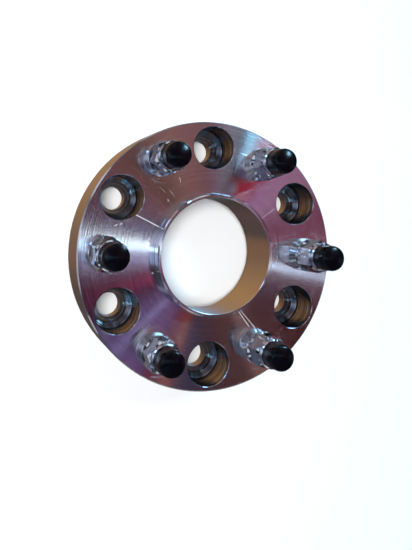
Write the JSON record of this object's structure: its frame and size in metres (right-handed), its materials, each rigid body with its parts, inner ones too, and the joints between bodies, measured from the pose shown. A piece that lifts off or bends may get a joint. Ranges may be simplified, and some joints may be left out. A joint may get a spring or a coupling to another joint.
{
  "type": "wheel spacer",
  "caption": "Round bolt-on wheel spacer with a centring hub lip, counterbored conical-seat lug holes, and pressed-in studs that carry lug nuts under soft end caps.",
  "frame": {"origin": "centre of the flat hub-side face, which the part lies on", "axes": "+Z along the wheel's axis, out of the wheel side; +X through the first stud"},
  "size_m": [0.174, 0.174, 0.0752],
  "materials": {
    "machined_aluminium": "lathe-turned, bare, fine concentric lines",
    "plated_steel": "plain plated, rolled thread and knurl",
    "chrome_plate": "mirror plate",
    "black_cap": "soft moulded vinyl, satin"
  },
  "bodies": {
    "root": {"spacer_body": "machined_aluminium", "wheel_stud_1": "plated_steel", "lug_nut_1": "chrome_plate", "thread_cap_1": "black_cap", "wheel_stud_2": "plated_steel", "lug_nut_2": "chrome_plate", "thread_cap_2": "black_cap", "wheel_stud_3": "plated_steel", "lug_nut_3": "chrome_plate", "thread_cap_3": "black_cap", "wheel_stud_4": "plated_steel", "lug_nut_4": "chrome_plate", "thread_cap_4": "black_cap", "wheel_stud_5": "plated_steel", "lug_nut_5": "chrome_plate", "thread_cap_5": "black_cap", "wheel_stud_6": "plated_steel", "lug_nut_6": "chrome_plate", "thread_cap_6": "black_cap"}
  },
  "joints": []
}
